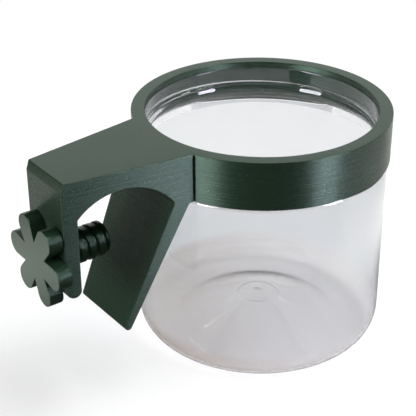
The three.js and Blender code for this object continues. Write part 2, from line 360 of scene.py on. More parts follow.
@dataclass(frozen=True)
class Helix:
    """A right-handed helical rib about Z: a trapezoid whose corners are eased."""

    pitch: float
    height: float
    root_width: float
    crest_width: float
    start: float
    turns: float
    fade: float = 0.0

    def rise(self, angles: np.ndarray, z: float) -> np.ndarray:
        """How far the rib stands out at one height, at each angle round.

        Args:
            angles: The angles round the axis, from 0 to a full turn.
            z: The height.

        Returns:
            The rise at each angle.
        """
        best = np.zeros(len(angles))
        for turn in range(-1, math.ceil(self.turns) + 1):
            along = angles / (2 * math.pi) + turn
            away = np.abs(z - self.start - self.pitch * along)
            flank = (self.root_width / 2 - away) / (self.root_width / 2 - self.crest_width / 2)
            share = np.clip(flank, 0, 1)
            share = share * share * (3 - 2 * share)
            inside = (along >= 0) & (along <= self.turns)
            if self.fade > 0:
                share = share * np.clip(np.minimum(along, self.turns - along) / self.fade, 0, 1)
            best = np.maximum(best, np.where(inside, share, 0))
        return best * self.height

    def rod(self, radius: float, low: float, high: float, chamfer: float = 0.0) -> Solid:
        """A round rod about Z with the rib on it.

        Args:
            radius: The rod's radius between the ribs.
            low: The height of its lower end.
            high: The height of its upper end.
            chamfer: How far its lower end is drawn in.

        Returns:
            The solid.
        """
        rows = math.ceil((high - low) / self.pitch * ROWS_PER_PITCH)
        heights = np.linspace(low, high, rows + 1)
        profile: list[Point] = [(0, low), (radius - chamfer, low)]
        profile += [(radius, z) for z in (heights[2:] if chamfer else heights[1:])]
        profile.append((0, high))

        def bulge(angles: np.ndarray, _radius: float, z: float) -> np.ndarray:
            """The rib, drawn in over twice the chamfer's height."""
            share = np.clip((z - low) / (2 * chamfer), END_SHARE, 1) if chamfer else 1
            return self.rise(angles, z) * share

        return Solid.turned(profile, ROD_STEPS, bulge)


class Value:
    """A shader value that is still being worked out: arithmetic on it adds Math nodes."""

    def __init__(self, graph: Graph, socket: bpy.types.NodeSocket) -> None:
        """Wraps an output socket of a graph."""
        self.graph = graph
        self.socket = socket

    def _math(self, operation: str, left: Value | float, right: Value | float) -> Value:
        """A Math node on two values."""
        return self.graph.node("ShaderNodeMath", {"operation": operation}, {0: left, 1: right})

    def __add__(self, other: Value | float) -> Value:
        """self + other."""
        return self._math("ADD", self, other)

    def __radd__(self, other: float) -> Value:
        """other + self."""
        return self._math("ADD", other, self)

    def __sub__(self, other: Value | float) -> Value:
        """self - other."""
        return self._math("SUBTRACT", self, other)

    def __rsub__(self, other: float) -> Value:
        """other - self."""
        return self._math("SUBTRACT", other, self)

    def __mul__(self, other: Value | float) -> Value:
        """self * other."""
        return self._math("MULTIPLY", self, other)

    def __rmul__(self, other: float) -> Value:
        """other * self."""
        return self._math("MULTIPLY", other, self)

    def __truediv__(self, other: Value | float) -> Value:
        """self / other."""
        return self._math("DIVIDE", self, other)

    def __rtruediv__(self, other: float) -> Value:
        """other / self."""
        return self._math("DIVIDE", other, self)

    def __gt__(self, other: Value | float) -> Value:
        """1 where self is above other."""
        return self._math("GREATER_THAN", self, other)

    def __lt__(self, other: Value | float) -> Value:
        """1 where self is below other."""
        return self._math("LESS_THAN", self, other)

    def __or__(self, other: Value | float) -> Value:
        """The larger of the two."""
        return self._math("MAXIMUM", self, other)

    def __ror__(self, other: float) -> Value:
        """The larger of the two, with the number first."""
        return self._math("MAXIMUM", other, self)

    def __abs__(self) -> Value:
        """The value without its sign."""
        return self._math("ABSOLUTE", self, 0)

    def sine(self) -> Value:
        """The sine of the value."""
        return self._math("SINE", self, 0)

    def ramp(self, start: float, end: float) -> Value:
        """A smooth step.

        Args:
            start: The value at which it is 0.
            end: The value at which it is 1, which may be the lower one.

        Returns:
            The step.
        """
        return self.graph.node(
            "ShaderNodeMapRange",
            {"interpolation_type": "SMOOTHSTEP"},
            {"Value": self, "From Min": start, "From Max": end},
        )


class Graph:
    """The node tree of a material or a world."""

    def __init__(self, owner: bpy.types.Material | bpy.types.World) -> None:
        """Starts an empty tree.

        Args:
            owner: The material or world that it belongs to.
        """
        owner.use_nodes = True
        self.tree = owner.node_tree
        self.tree.nodes.clear()

    def node(
        self,
        kind: str,
        settings: dict[str, object] | None = None,
        inputs: dict[int | str, object] | None = None,
        output: int | str = 0,
    ) -> Value:
        """Adds a node.

        Args:
            kind: Its type.
            settings: Its own settings, which are set first.
            inputs: The value of a socket, or a Value that is linked to it.
            output: The socket that is given back.

        Returns:
            The chosen output.
        """
        node = self.tree.nodes.new(kind)
        for name, setting in (settings or {}).items():
            setattr(node, name, setting)
        for name, value in (inputs or {}).items():
            if isinstance(value, Value):
                self.tree.links.new(value.socket, node.inputs[name])
            else:
                node.inputs[name].default_value = value
        return Value(self, node.outputs[output]) if node.outputs else Value(self, None)

    def along(self, axis: Axis) -> Value:
        """The place along an axis of the piece's own frame, in metres."""
        place = self.node("ShaderNodeTexCoord", output="Object")
        return self.node("ShaderNodeSeparateXYZ", inputs={0: place}, output=axis.value)

    def noise(self, scale: float, detail: float = 2.0, stretch: tuple = (1, 1, 1)) -> Value:
        """Noise through the piece, from 0 to 1.

        Args:
            scale: How many blobs go into a metre.
            detail: Its octaves.
            stretch: How much faster it runs along X, Y and Z.

        Returns:
            The noise.
        """
        place = self.node("ShaderNodeTexCoord", output="Object")
        stretched = self.node("ShaderNodeMapping", inputs={"Vector": place, "Scale": stretch})
        settings = {"Vector": stretched, "Scale": scale, "Detail": detail}
        return self.node("ShaderNodeTexNoise", inputs=settings)

    def bump(self, height: Value, depth: float) -> Value:
        """The normal of a relief whose height runs from 0 to 1, at its real depth."""
        return self.node("ShaderNodeBump", inputs={"Height": height, "Distance": depth, "Strength": 1.0})

    def mix(self, share: Value | float, low: object, high: object) -> Value:
        """A mix of two colours."""
        return self.node("ShaderNodeMix", {"data_type": "RGBA"}, {0: share, 6: low, 7: high}, 2)

    def dot(self, vector: Value, direction: Sequence[float]) -> Value:
        """How far a vector goes along a direction."""
        settings = {"operation": "DOT_PRODUCT"}
        return self.node("ShaderNodeVectorMath", settings, {0: vector, 1: tuple(direction)}, "Value")

    def path(self, *rays: str) -> Value:
        """1 for a ray of any of the named kinds.

        Args:
            rays: The kinds, as the Light Path node names them.

        Returns:
            The test.
        """
        found = [self.node("ShaderNodeLightPath", output=f"Is {ray} Ray") for ray in rays]
        total = found[0]
        for more in found[1:]:
            total = total | more
        return total

    def mirrored(self) -> Value:
        """1 for a ray that was reflected last, which a refracted ray is not."""
        return self.path("Glossy") * (1 - self.path("Transmission"))


@dataclass(frozen=True)
class PrintedPlastic:
    """Satin dark green printed plastic: fine layer lines, faint bands and a few teal specks."""

    name: str
    layers: Axis
    colour: tuple = (0.0090, 0.0225, 0.0120, 1)
    pale: tuple = (0.0120, 0.0280, 0.0155, 1)
    speck: tuple = (0.10, 0.26, 0.22, 1)
    roughness: float = 0.29
    layer_height: float = 0.2 * MM
    layer_depth: float = 0.045 * MM
    band_height: float = 1.6 * MM
    band_detail: float = 3.0
    band_share: float = 0.5
    cloud_scale: float = 55
    cloud_detail: float = 3
    cloud_share: float = 0.3
    mottle_scale: float = 1400
    mottle_share: float = 0.2
    mottle_height: float = 0.03
    shade_fade: Point = (0.3, 0.7)
    band_gloss: float = 0.10
    mottle_gloss: float = 0.08
    speck_spacing: float = 1.7 * MM
    speck_size: float = 0.08
    speck_rarity: float = 0.8
    speck_strength: float = 0.8
    specular: float = 0.62
    index: float = 1.46
    sheen_tint: tuple = (0.68, 1.0, 0.78, 1)

    def make(self) -> bpy.types.Material:
        """Builds the material.

        Returns:
            The material.
        """
        material = bpy.data.materials.new(self.name)
        graph = Graph(material)
        along = graph.along(self.layers)
        ridges = abs((along * (math.pi / self.layer_height)).sine())
        bands = graph.node(
            "ShaderNodeTexNoise",
            {"noise_dimensions": "1D"},
            {"W": along / self.band_height, "Detail": self.band_detail},
        )
        cloud = graph.noise(self.cloud_scale, self.cloud_detail)
        mottle = graph.noise(self.mottle_scale)
        place = graph.node("ShaderNodeTexCoord", output="Object")
        spacing = {"Vector": place, "Scale": 1 / self.speck_spacing}
        distance = graph.node("ShaderNodeTexVoronoi", inputs=spacing, output="Distance")
        cell = graph.node("ShaderNodeTexVoronoi", inputs=spacing, output="Color")
        chosen = graph.node("ShaderNodeSeparateColor", inputs={0: cell}, output=0)
        specks = (distance < self.speck_size) * (chosen > self.speck_rarity)
        shade = bands * self.band_share + cloud * self.cloud_share + mottle * self.mottle_share
        colour = graph.mix(shade.ramp(*self.shade_fade), self.colour, self.pale)
        colour = graph.mix(specks * self.speck_strength, colour, self.speck)
        roughness = self.roughness + (bands - 0.5) * self.band_gloss + (mottle - 0.5) * self.mottle_gloss
        height = ridges + mottle * self.mottle_height
        bump = graph.bump(height, self.layer_depth)
        shader = graph.node(
            "ShaderNodeBsdfPrincipled",
            inputs={
                "Base Color": colour,
                "Roughness": roughness,
                "Normal": bump,
                "IOR": self.index,
                "Specular IOR Level": self.specular,
                "Specular Tint": self.sheen_tint,
            },
        )
        graph.node("ShaderNodeOutputMaterial", inputs={"Surface": shader})
        return material


@dataclass(frozen=True)
class ClearPlastic:
    """Clear glossy blow-moulded plastic with a faint cool tint. Its base is darker and warmer, partly for
    its thick plastic and partly as painted shade for the floor in the jar's shadow seen through it, and
    paler towards one side, a painted highlight.
    """

    name: str
    axis_x: float
    tint: tuple = (0.775, 0.785, 0.80, 1)
    # Painted shade, partly real: the base's darker, warmer tint stands for its thick plastic and for the
    # floor in the jar's shadow seen through it.
    base_tint: tuple = (0.665, 0.63, 0.605, 1)
    # Painted highlight: the base turns paler towards one side, for reflected light; the fade runs along
    # this direction, in metres.
    painted_highlight_base_tint: tuple = (0.80, 0.785, 0.79, 1)
    painted_highlight_side: tuple = (0.8, -0.6, 0)
    painted_highlight_from: float = -0.030
    painted_highlight_to: float = 0.045
    shadow: tuple = (0.80, 0.80, 0.80, 1)
    base_height: float = 8 * MM
    wall_height: float = 13 * MM
    base_radius: float = 34 * MM
    wall_radius: float = 39 * MM
    roughness: float = 0.02
    index: float = 1.5
    ripple_depth: float = 0.02 * MM
    ripple_scale: float = 60
    ripple_stretch: tuple = (1, 1, 0.35)

    def make(self) -> bpy.types.Material:
        """Builds the material.

        Returns:
            The material.
        """
        material = bpy.data.materials.new(self.name)
        graph = Graph(material)
        above_foot = graph.along(Axis.Z)
        place = graph.node("ShaderNodeTexCoord", output="Object")
        # Painted highlight: the share of the paler side of the base.
        thin = graph.dot(place, self.painted_highlight_side).ramp(self.painted_highlight_from, self.painted_highlight_to)
        base = graph.mix(thin, self.base_tint, self.painted_highlight_base_tint)
        level = graph.node(
            "ShaderNodeMapping",
            inputs={"Vector": place, "Location": (-self.axis_x, 0, 0), "Scale": (1, 1, 0)},
        )
        radius = graph.node("ShaderNodeVectorMath", {"operation": "LENGTH"}, {0: level}, "Value")
        # Painted shade, partly real: the base below the wall and inside the heel gets the darker tint.
        low = above_foot.ramp(self.wall_height, self.base_height)
        inner = radius.ramp(self.wall_radius, self.base_radius)
        tint = graph.mix(low | inner, self.tint, base)
        ripple = graph.noise(self.ripple_scale, detail=1, stretch=self.ripple_stretch)
        glass = graph.node(
            "ShaderNodeBsdfPrincipled",
            inputs={
                "Base Color": tint,
                "Roughness": self.roughness,
                "IOR": self.index,
                "Transmission Weight": 1.0,
                "Normal": graph.bump(ripple, self.ripple_depth),
            },
        )
        through = graph.node("ShaderNodeBsdfTransparent", inputs={"Color": self.shadow})
        shader = graph.node(
            "ShaderNodeMixShader", inputs={0: graph.path("Shadow"), 1: glass, 2: through}
        )
        graph.node("ShaderNodeOutputMaterial", inputs={"Surface": shader})
        return material


@dataclass(frozen=True)
class NeckThread:
    """The one-turn thread that holds the jar in the collar."""

    pitch: float = 5.08 * MM
    height: float = 1.45 * MM
    root: float = 3.4 * MM
    crest: float = 1.0 * MM
    turns: float = 1
    fade: float = 0.06
    lower: float = 0.12

    def helix(self, sizes: PackedSizes, drop: float = 0.0) -> Helix:
        """One rib of the thread.

        Args:
            sizes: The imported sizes, whose neck the jar's rib is centred on.
            drop: How far the rib lies below the jar's, in pitches.

        Returns:
            The rib.
        """
        middle = (sizes.rim_z + sizes.neck_foot_z) / 2
        start = middle - self.pitch * (self.lower + self.turns / 2 + drop)
        return Helix(self.pitch, self.height, self.root, self.crest, start, self.turns, self.fade)


@dataclass
class ClampBracket:
    """Collar, arm and both jaws, printed as one piece."""

    sizes: PackedSizes
    placing: Matrix
    screw: Thumbscrew
    neck_thread: NeckThread
    lip_thickness: float = 2.2 * MM
    lip_radius: float = 41.15 * MM
    bore_radius: float = 44.6 * MM
    side_gap: float = 0.5 * MM
    arm_thickness: float = 6.6 * MM
    half_width_at_face: float = 11 * MM
    taper: float = math.radians(8.77)
    jaw_thickness: float = 5 * MM
    jaw_depth: float = 41.8 * MM
    brow_width: float = 1.1 * MM
    brow_height: float = 3.1 * MM
    arch_radius: float = 21 * MM
    arch_setback: float = 15.8 * MM
    throat_fillet: float = 0.8 * MM
    tip_radius: float = 1.25 * MM
    tip_to_jaw: float = 15.6 * MM
    clamp_lean: float = math.radians(23.9)
    ring_lean: float = math.radians(27.6)
    corner_fillet: float = 1 * MM
    relief_radius: float = 0.55 * MM
    relief_roof: float = 0.4 * MM
    edge: float = 0.32 * MM
    edge_angle: float = math.radians(32)
    edge_segments: int = 2
    edge_steps: int = 3
    rib_drop: float = 0.5
    rib_rows: int = 72
    ring_steps: int = 240
    arch_steps: int = 56
    jaw_end_steps: int = 20
    tip_steps: int = 14
    fillet_steps: int = 8
    corner_steps: int = 6
    relief_steps: int = 20
    overcut: float = 5 * MM
    crease: float = math.radians(50)

    def profile(self) -> list[Point]:
        """The side view of arm and jaws, in X and Z, anticlockwise from the collar's underside.

        Returns:
            The points.
        """
        inner_x = self.sizes.jaw_face_x - self.jaw_thickness
        tip = (inner_x - self.tip_to_jaw, self.sizes.tip_z + self.tip_radius)
        arch = (inner_x - self.arch_setback, -self.arm_thickness - self.arch_radius)
        arch_end = math.acos(self.arch_setback / self.arch_radius)
        up = Vector((-math.sin(self.clamp_lean), math.cos(self.clamp_lean)))
        out = Vector((math.cos(self.clamp_lean), math.sin(self.clamp_lean)))
        start = Vector(tip) + out * (self.tip_radius + self.throat_fillet)
        to_arch = start - Vector(arch)
        along = to_arch.dot(up)
        reach = self.arch_radius - self.throat_fillet
        fillet = start + up * (-along + math.sqrt(along**2 - to_arch.length_squared + reach**2))
        arch_start = math.atan2(fillet.y - arch[1], fillet.x - arch[0])
        fillet_start = math.pi + self.clamp_lean
        tip_end = 2 * math.pi + self.clamp_lean
        corner_z = -self.sizes.collar_height - self.corner_fillet
        back_x = tip[0] - self.tip_radius * math.cos(self.ring_lean)
        back_z = tip[1] - self.tip_radius * math.sin(self.ring_lean)
        rise = corner_z - back_z
        corner_x = back_x - rise * math.tan(self.ring_lean) - self.corner_fillet / math.cos(self.ring_lean)
        half = self.jaw_thickness / 2
        bottom = (inner_x + half, -self.jaw_depth + half)
        face_x = self.sizes.jaw_face_x
        return [
            (self.lip_radius, -self.sizes.collar_height),
            *arc((corner_x, corner_z), self.corner_fillet, QUARTER, self.ring_lean, self.corner_steps),
            *arc(tip, self.tip_radius, math.pi + self.ring_lean, tip_end, self.tip_steps),
            *arc(tuple(fillet), self.throat_fillet, fillet_start, arch_start, self.fillet_steps),
            *arc(arch, self.arch_radius, arch_start, arch_end, self.arch_steps)[1:],
            *arc(bottom, half, math.pi, 2 * math.pi, self.jaw_end_steps),
            (face_x, -self.brow_height),
            (face_x - self.brow_width, 0),
            (self.lip_radius, 0),
        ]

    def half_width(self, x: float) -> float:
        """Half the width of arm and jaws at a distance from the collar's axis."""
        return self.half_width_at_face + (self.sizes.jaw_face_x - x) * math.tan(self.taper)

    def arm(self) -> Solid:
        """Arm and jaws: the side view between two sides that taper away from the collar.

        Returns:
            The solid, cut away where the jar hangs.
        """
        outline = self.profile()
        near = [(x, -self.half_width(x), z) for x, z in outline]
        far = [(x, self.half_width(x), z) for x, z in outline]
        room = Solid.cylinder(
            self.sizes.jar_radius + self.side_gap,
            self.sizes.tip_z - self.overcut,
            -self.sizes.collar_height / 2,
            self.ring_steps,
        )
        return Solid.between(near, far).bevelled(self.edge, self.edge_segments, self.edge_angle) - room

    def collar(self) -> Solid:
        """The collar's round block with eased edges, still without its inside.

        Returns:
            The solid.
        """
        low = -self.sizes.collar_height
        inset = self.sizes.collar_radius - self.edge
        profile = [
            (0, low),
            *arc((inset, low + self.edge), self.edge, -QUARTER, 0, self.edge_steps),
            *arc((inset, -self.edge), self.edge, 0, QUARTER, self.edge_steps),
            (0, 0),
        ]
        return Solid.turned(profile, self.ring_steps)

    def inside(self) -> Solid:
        """The collar's inside: its lip opening above its bore, whose rib holds the jar's.

        Returns:
            What is cut out of the collar.
        """
        low = -self.sizes.collar_height
        under_lip = -self.lip_thickness
        foot_x = self.bore_radius + self.edge
        lip_x = self.lip_radius + self.edge
        profile = [
            (0, low - self.overcut),
            (foot_x, low - self.overcut),
            *arc((foot_x, low + self.edge), self.edge, math.pi + QUARTER, math.pi, self.edge_steps),
            *[(self.bore_radius, z) for z in np.linspace(low + self.edge, under_lip, self.rib_rows)[1:]],
            (self.lip_radius, under_lip),
            *arc((lip_x, -self.edge), self.edge, math.pi, QUARTER, self.edge_steps),
            (lip_x, self.overcut),
            (0, self.overcut),
        ]
        rib = self.neck_thread.helix(self.sizes, self.rib_drop)

        def bulge(angles: np.ndarray, radius: float, z: float) -> np.ndarray:
            """The rib, which stands in from the bore."""
            on_bore = abs(radius - self.bore_radius) < SAME_RADIUS
            return -rib.rise(angles, z) if on_bore else np.zeros(len(angles))

        return Solid.turned(profile, self.ring_steps, bulge)

    def relief(self, side: float) -> Solid:
        """The narrow upright groove where one of the arm's sides meets the collar.

        Args:
            side: 1 or -1, for the arm's far or near side.

        Returns:
            What cuts it.
        """
        away = self.half_width(0) * math.cos(self.taper)
        along = math.sqrt(self.sizes.collar_radius**2 - away**2)
        x = away * math.sin(self.taper) + along * math.cos(self.taper)
        y = away * math.cos(self.taper) - along * math.sin(self.taper)
        low = -self.sizes.collar_height - self.overcut
        groove = Solid.cylinder(self.relief_radius, low, -self.relief_roof, self.relief_steps)
        return groove.moved(Matrix.Translation((x, side * y, 0)))

    def build(self, material: bpy.types.Material) -> bpy.types.Object:
        """Builds the bracket and hangs it on its body.

        Args:
            material: Its material.

        Returns:
            The piece.
        """
        inner_x = self.sizes.jaw_face_x - self.jaw_thickness
        hole = self.screw.tap(inner_x - self.overcut, self.sizes.jaw_face_x + self.overcut)
        solid = self.collar() + self.arm() - self.inside() - self.relief(1) - self.relief(-1) - hole
        piece = solid.moved(self.placing).piece("bracket", material, self.crease)
        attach(piece, Body.BRACKET.value)
        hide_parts("clamp_bracket")
        return piece


@dataclass
class Thumbscrew:
    """Petal knob and threaded shank, printed as one piece."""

    sizes: PackedSizes
    placing: Matrix
    core_radius: float = 4.9 * MM
    pitch: float = 3.5 * MM
    thread_height: float = 1.0 * MM
    root_width: float = 3.1 * MM
    crest_width: float = 1.9 * MM
    knob_thickness: float = 5.05 * MM
    knob_edge: float = 0.3 * MM
    petal_count: int = 6
    petal_half_width: float = 4.2 * MM
    notch_radius: float = 7.4 * MM
    petal_turn: float = math.radians(-6)
    petal_steps: int = 22
    end_chamfer: float = 0.5 * MM
    crest_gap: float = 0.35 * MM
    flank_gap: float = 0.2 * MM
    edge_segments: int = 2
    edge_angle: float = math.radians(60)
    crease: float = math.radians(40)

    def outline(self) -> list[Point]:
        """Round-ended petals whose sides close in to sharp notches.

        Returns:
            The points round the knob.
        """
        points: list[Point] = []
        pitch = 2 * math.pi / self.petal_count
        end = self.sizes.petal_radius - self.petal_half_width
        for i in range(self.petal_count):
            middle = self.petal_turn + i * pitch
            notch = middle - pitch / 2
            points.append((self.notch_radius * math.cos(notch), self.notch_radius * math.sin(notch)))
            across, along = math.cos(middle), math.sin(middle)
            for x, y in arc((end, 0), self.petal_half_width, -QUARTER, QUARTER, self.petal_steps):
                points.append((x * across - y * along, x * along + y * across))
        return points

    def knob(self) -> Solid:
        """The flat knob, drawn about Z at its distance from the collar's axis.

        Returns:
            The knob.
        """
        outline = self.outline()
        front = self.sizes.knob_front_x
        back = front - self.knob_thickness
        solid = Solid.between([(x, y, back) for x, y in outline], [(x, y, front) for x, y in outline])
        return solid.bevelled(self.knob_edge, self.edge_segments, self.edge_angle)

    def thread(self, gap: float = 0.0) -> Helix:
        """The shank's thread, or one widened by a gap.

        Args:
            gap: How much wider it is on each flank.

        Returns:
            The thread.
        """
        start = self.sizes.nose_x - self.pitch
        turns = math.ceil((self.sizes.knob_front_x - start) / self.pitch) + 1
        wider = 2 * gap
        root = self.root_width + wider
        return Helix(self.pitch, self.thread_height, root, self.crest_width + wider, start, turns)

    def shank(self) -> Solid:
        """The shank, threaded to its blunt end."""
        end = self.sizes.knob_front_x - self.knob_thickness / 2
        return self.thread().rod(self.core_radius, self.sizes.nose_x, end, self.end_chamfer)

    def tap(self, low: float, high: float) -> Solid:
        """What cuts the threaded hole that the shank runs in, on the screw's axis.

        Args:
            low: The distance of its inner end from the collar's axis.
            high: The distance of its outer end.

        Returns:
            The cutter.
        """
        rod = self.thread(self.flank_gap).rod(self.core_radius + self.crest_gap, low, high)
        return rod.moved(self.along_arm())

    def along_arm(self) -> Matrix:
        """The move that lays what is drawn about Z along the arm, at the screw's height."""
        turn = Matrix(((0, 0, 1, 0), (1, 0, 0, 0), (0, 1, 0, 0), (0, 0, 0, 1)))
        return Matrix.Translation((0, 0, self.sizes.screw_z)) @ turn

    def build(self, material: bpy.types.Material) -> bpy.types.Object:
        """Builds the thumbscrew and hangs it on its body.

        Args:
            material: Its material.

        Returns:
            The piece.
        """
        solid = (self.knob() + self.shank()).moved(self.along_arm())
        piece = solid.moved(self.placing).piece("petal_thumbscrew", material, self.crease)
        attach(piece, Body.SCREW.value)
        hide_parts("thumbscrew", "thumbscrew_nose")
        return piece


def eased(start: Point, end: Point, steps: int) -> list[Point]:
    """A smooth step between two points of a section, upright at both ends.

    Args:
        start: The first point.
        end: The last point.
        steps: How many chords it has.

    Returns:
        steps + 1 points.
    """
    shares = np.linspace(0, 1, steps + 1)
    return [
        (start[0] + (end[0] - start[0]) * s * s * (3 - 2 * s), start[1] + (end[1] - start[1]) * s)
        for s in shares
    ]


@dataclass
class Jar:
    """The clear jar: one thin wall from its gate mark to its threaded neck."""

    sizes: PackedSizes
    placing: Matrix
    neck_thread: NeckThread
    wall: float = 0.75 * MM
    heel_radius: float = 10 * MM
    foot_width: float = 1.2 * MM
    floor_rise: float = 10.4 * MM
    floor_thickness: float = 0.9 * MM
    flank_thinning: float = 0.35 * MM
    dome_top: float = 0.36
    dome_foot: float = 0.14
    gate_radius: float = 6.9 * MM
    gate_step: float = 0.35 * MM
    gate_ease: float = 0.8 * MM
    gate_nub_radius: float = 2.2 * MM
    gate_nub_height: float = 0.35 * MM
    shoulder_step: float = 2.4 * MM
    shoulder_radius: float = 1.5 * MM
    neck_wall: float = 1.4 * MM
    rim_rounding: float = 0.4 * MM
    ledge_drop: float = 5.7 * MM
    ledge_width: float = 0.35 * MM
    ledge_height: float = 0.4 * MM
    bulge_drop: float = 0.3 * MM
    bulge_height: float = 2.2 * MM
    bulge_depth: float = 0.62 * MM
    neck_flow: float = 6.0 * MM
    ring_steps: int = 256
    neck_rows: int = 120
    gate_points: int = 30
    flank_points: int = 40
    heel_steps: int = 18
    shoulder_steps: int = 8
    rim_steps: int = 4
    ledge_steps: int = 8
    bulge_steps: int = 14
    flow_steps: int = 18
    crease: float = math.radians(50)

    def dome(self, place: float) -> float:
        """How far the floor stands up, from 0 to 1: a flat cone whose top and foot are rounded.

        Args:
            place: Where, from 0 in the middle to 1 at the foot.

        Returns:
            The share of the whole rise.
        """
        top, foot = self.dome_top, self.dome_foot
        slope = 1 / (1 - (top + foot) / 2)
        if place < top:
            return 1 - slope * place**2 / (2 * top)
        if place < 1 - foot:
            return 1 - slope * (place - top / 2)
        return slope * (1 - place) ** 2 / (2 * foot)

    def floor_line(self, foot_x: float, heel_x: float, is_inside: bool) -> list[Point]:
        """One side of the floor, a dome with a gate mark in its middle.

        Args:
            foot_x: The radius at which the dome meets the foot.
            heel_x: The radius at which the foot meets the heel.
            is_inside: Whether it is the side that holds the jar's contents.

        Returns:
            The points, from the middle out.
        """
        disc_foot = self.gate_radius + self.gate_ease
        flank = np.linspace(disc_foot, heel_x, self.flank_points)
        radii = [*np.linspace(0, disc_foot, self.gate_points), *flank[1:]]
        points: list[Point] = []
        for radius in radii:
            height = self.floor_rise * self.dome(min(radius / foot_x, 1))
            disc = min(max((disc_foot - radius) / self.gate_ease, 0), 1)
            nub = max(1 - radius / self.gate_nub_radius, 0)
            height += self.gate_step * disc * disc * (3 - 2 * disc)
            height += self.gate_nub_height * nub * nub * (3 - 2 * nub)
            if is_inside:
                outward = radius / heel_x
                thickness = self.floor_thickness + (self.wall - self.floor_thickness) * outward
                height += thickness - self.flank_thinning * math.sin(math.pi * min(outward, 1))
            points.append((float(radius), self.sizes.foot_z + height))
        return points

    def neck_inside(self, bore_x: float, rim: float, body_x: float) -> list[Point]:
        """The neck's inside, from under the rim down to the body's wall.

        Args:
            bore_x: The bore's radius at the rim.
            rim: The height of the rim's rounding.
            body_x: The body's inner radius.

        Returns:
            The points: a small ledge, a soft swelling under it and an easy flow into the body.
        """
        ledge_z = self.sizes.rim_z - self.ledge_drop
        ledge_x = bore_x - self.ledge_width
        ledge_foot = (ledge_x, ledge_z - self.ledge_height)
        bulge_top = (ledge_x, ledge_foot[1] - self.bulge_drop)
        bulge_foot = (ledge_x - self.bulge_depth, bulge_top[1] - self.bulge_height)
        return [
            *arc((bore_x + self.rim_rounding, rim), self.rim_rounding, QUARTER, math.pi, self.rim_steps),
            *eased((bore_x, ledge_z), ledge_foot, self.ledge_steps),
            *eased(bulge_top, bulge_foot, self.bulge_steps),
            *eased(bulge_foot, (body_x, bulge_foot[1] - self.neck_flow), self.flow_steps)[1:],
        ]

    def profile(self) -> list[Point]:
        """The wall's section, from the floor's underside out, up, over the rim and back down.

        Returns:
            The points, which start and end on the axis.
        """
        size = self.sizes
        heel_x = size.jar_radius - self.heel_radius
        under = self.floor_line(heel_x - self.foot_width, heel_x, False)
        over = self.floor_line(heel_x - self.foot_width, heel_x, True)
        shoulder_z = -size.collar_height - self.shoulder_radius
        shoulder = (size.jar_radius - self.shoulder_radius, shoulder_z)
        heel = (heel_x, size.foot_z + self.heel_radius)
        neck_x = size.jar_radius - self.shoulder_step
        bore_x = neck_x - self.neck_wall
        rim = size.rim_z - self.rim_rounding
        rim_x = neck_x - self.rim_rounding
        return [
            *under,
            *arc(heel, self.heel_radius, -QUARTER, 0, self.heel_steps),
            *arc(shoulder, self.shoulder_radius, 0, QUARTER, self.shoulder_steps),
            *[(neck_x, z) for z in np.linspace(-size.collar_height, rim, self.neck_rows)],
            *arc((rim_x, rim), self.rim_rounding, 0, QUARTER, self.rim_steps)[1:],
            *self.neck_inside(bore_x, rim, size.jar_radius - self.wall),
            *arc(heel, self.heel_radius - self.wall, 0, -QUARTER, self.heel_steps),
            *reversed(over),
        ]

    def build(self, material: bpy.types.Material) -> bpy.types.Object:
        """Builds the jar and hangs it on its turning body.

        Args:
            material: Its material.

        Returns:
            The piece.
        """
        neck_x = self.sizes.jar_radius - self.shoulder_step
        neck_low = self.sizes.neck_foot_z
        thread = self.neck_thread.helix(self.sizes)

        def bulge(angles: np.ndarray, radius: float, z: float) -> np.ndarray:
            """The thread on the neck's outside."""
            on_neck = abs(radius - neck_x) < SAME_RADIUS and z > neck_low
            return thread.rise(angles, z) if on_neck else np.zeros(len(angles))

        solid = Solid.turned(self.profile(), self.ring_steps, bulge)
        piece = solid.moved(self.placing).piece("jar", material, self.crease)
        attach(piece, Body.JAR.value)
        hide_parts("jar_body", "jar_neck")
        return piece


@dataclass(frozen=True)
class SoftBox:
    """A soft rectangular lamp, placed by its bearing from the camera's side and its height angle.

    The angles are in degrees and the lengths in metres. A radiance of 1 shows as white.
    """

    name: str
    bearing: float
    elevation: float
    distance: float
    width: float
    height: float
    radiance: float
    colour: tuple = (1, 1, 1)
    lights_surfaces: bool = True
    shows_in_gloss: bool = True

    def hang(self, camera_heading: float, aim: Vector) -> None:
        """Hangs the lamp round the cup.

        Args:
            camera_heading: Where the camera looks, from +Y towards +X, in radians.
            aim: The point that the lamp faces.
        """
        data = bpy.data.lights.new(self.name, "AREA")
        data.shape = "RECTANGLE"
        data.size = self.width
        data.size_y = self.height
        data.energy = self.radiance * math.pi * self.width * self.height
        data.color = self.colour
        lamp = bpy.data.objects.new(self.name, data)
        heading = camera_heading + math.pi - math.radians(self.bearing)
        flat = math.cos(math.radians(self.elevation)) * self.distance
        rise = math.sin(math.radians(self.elevation)) * self.distance
        lamp.location = aim + Vector((flat * math.sin(heading), flat * math.cos(heading), rise))
        lamp.rotation_euler = (aim - lamp.location).to_track_quat("-Z", "Y").to_euler()
        lamp.visible_camera = False
        lamp.visible_glossy = self.shows_in_gloss
        lamp.visible_diffuse = self.lights_surfaces
        lamp.visible_transmission = False
        bpy.context.scene.collection.objects.link(lamp)


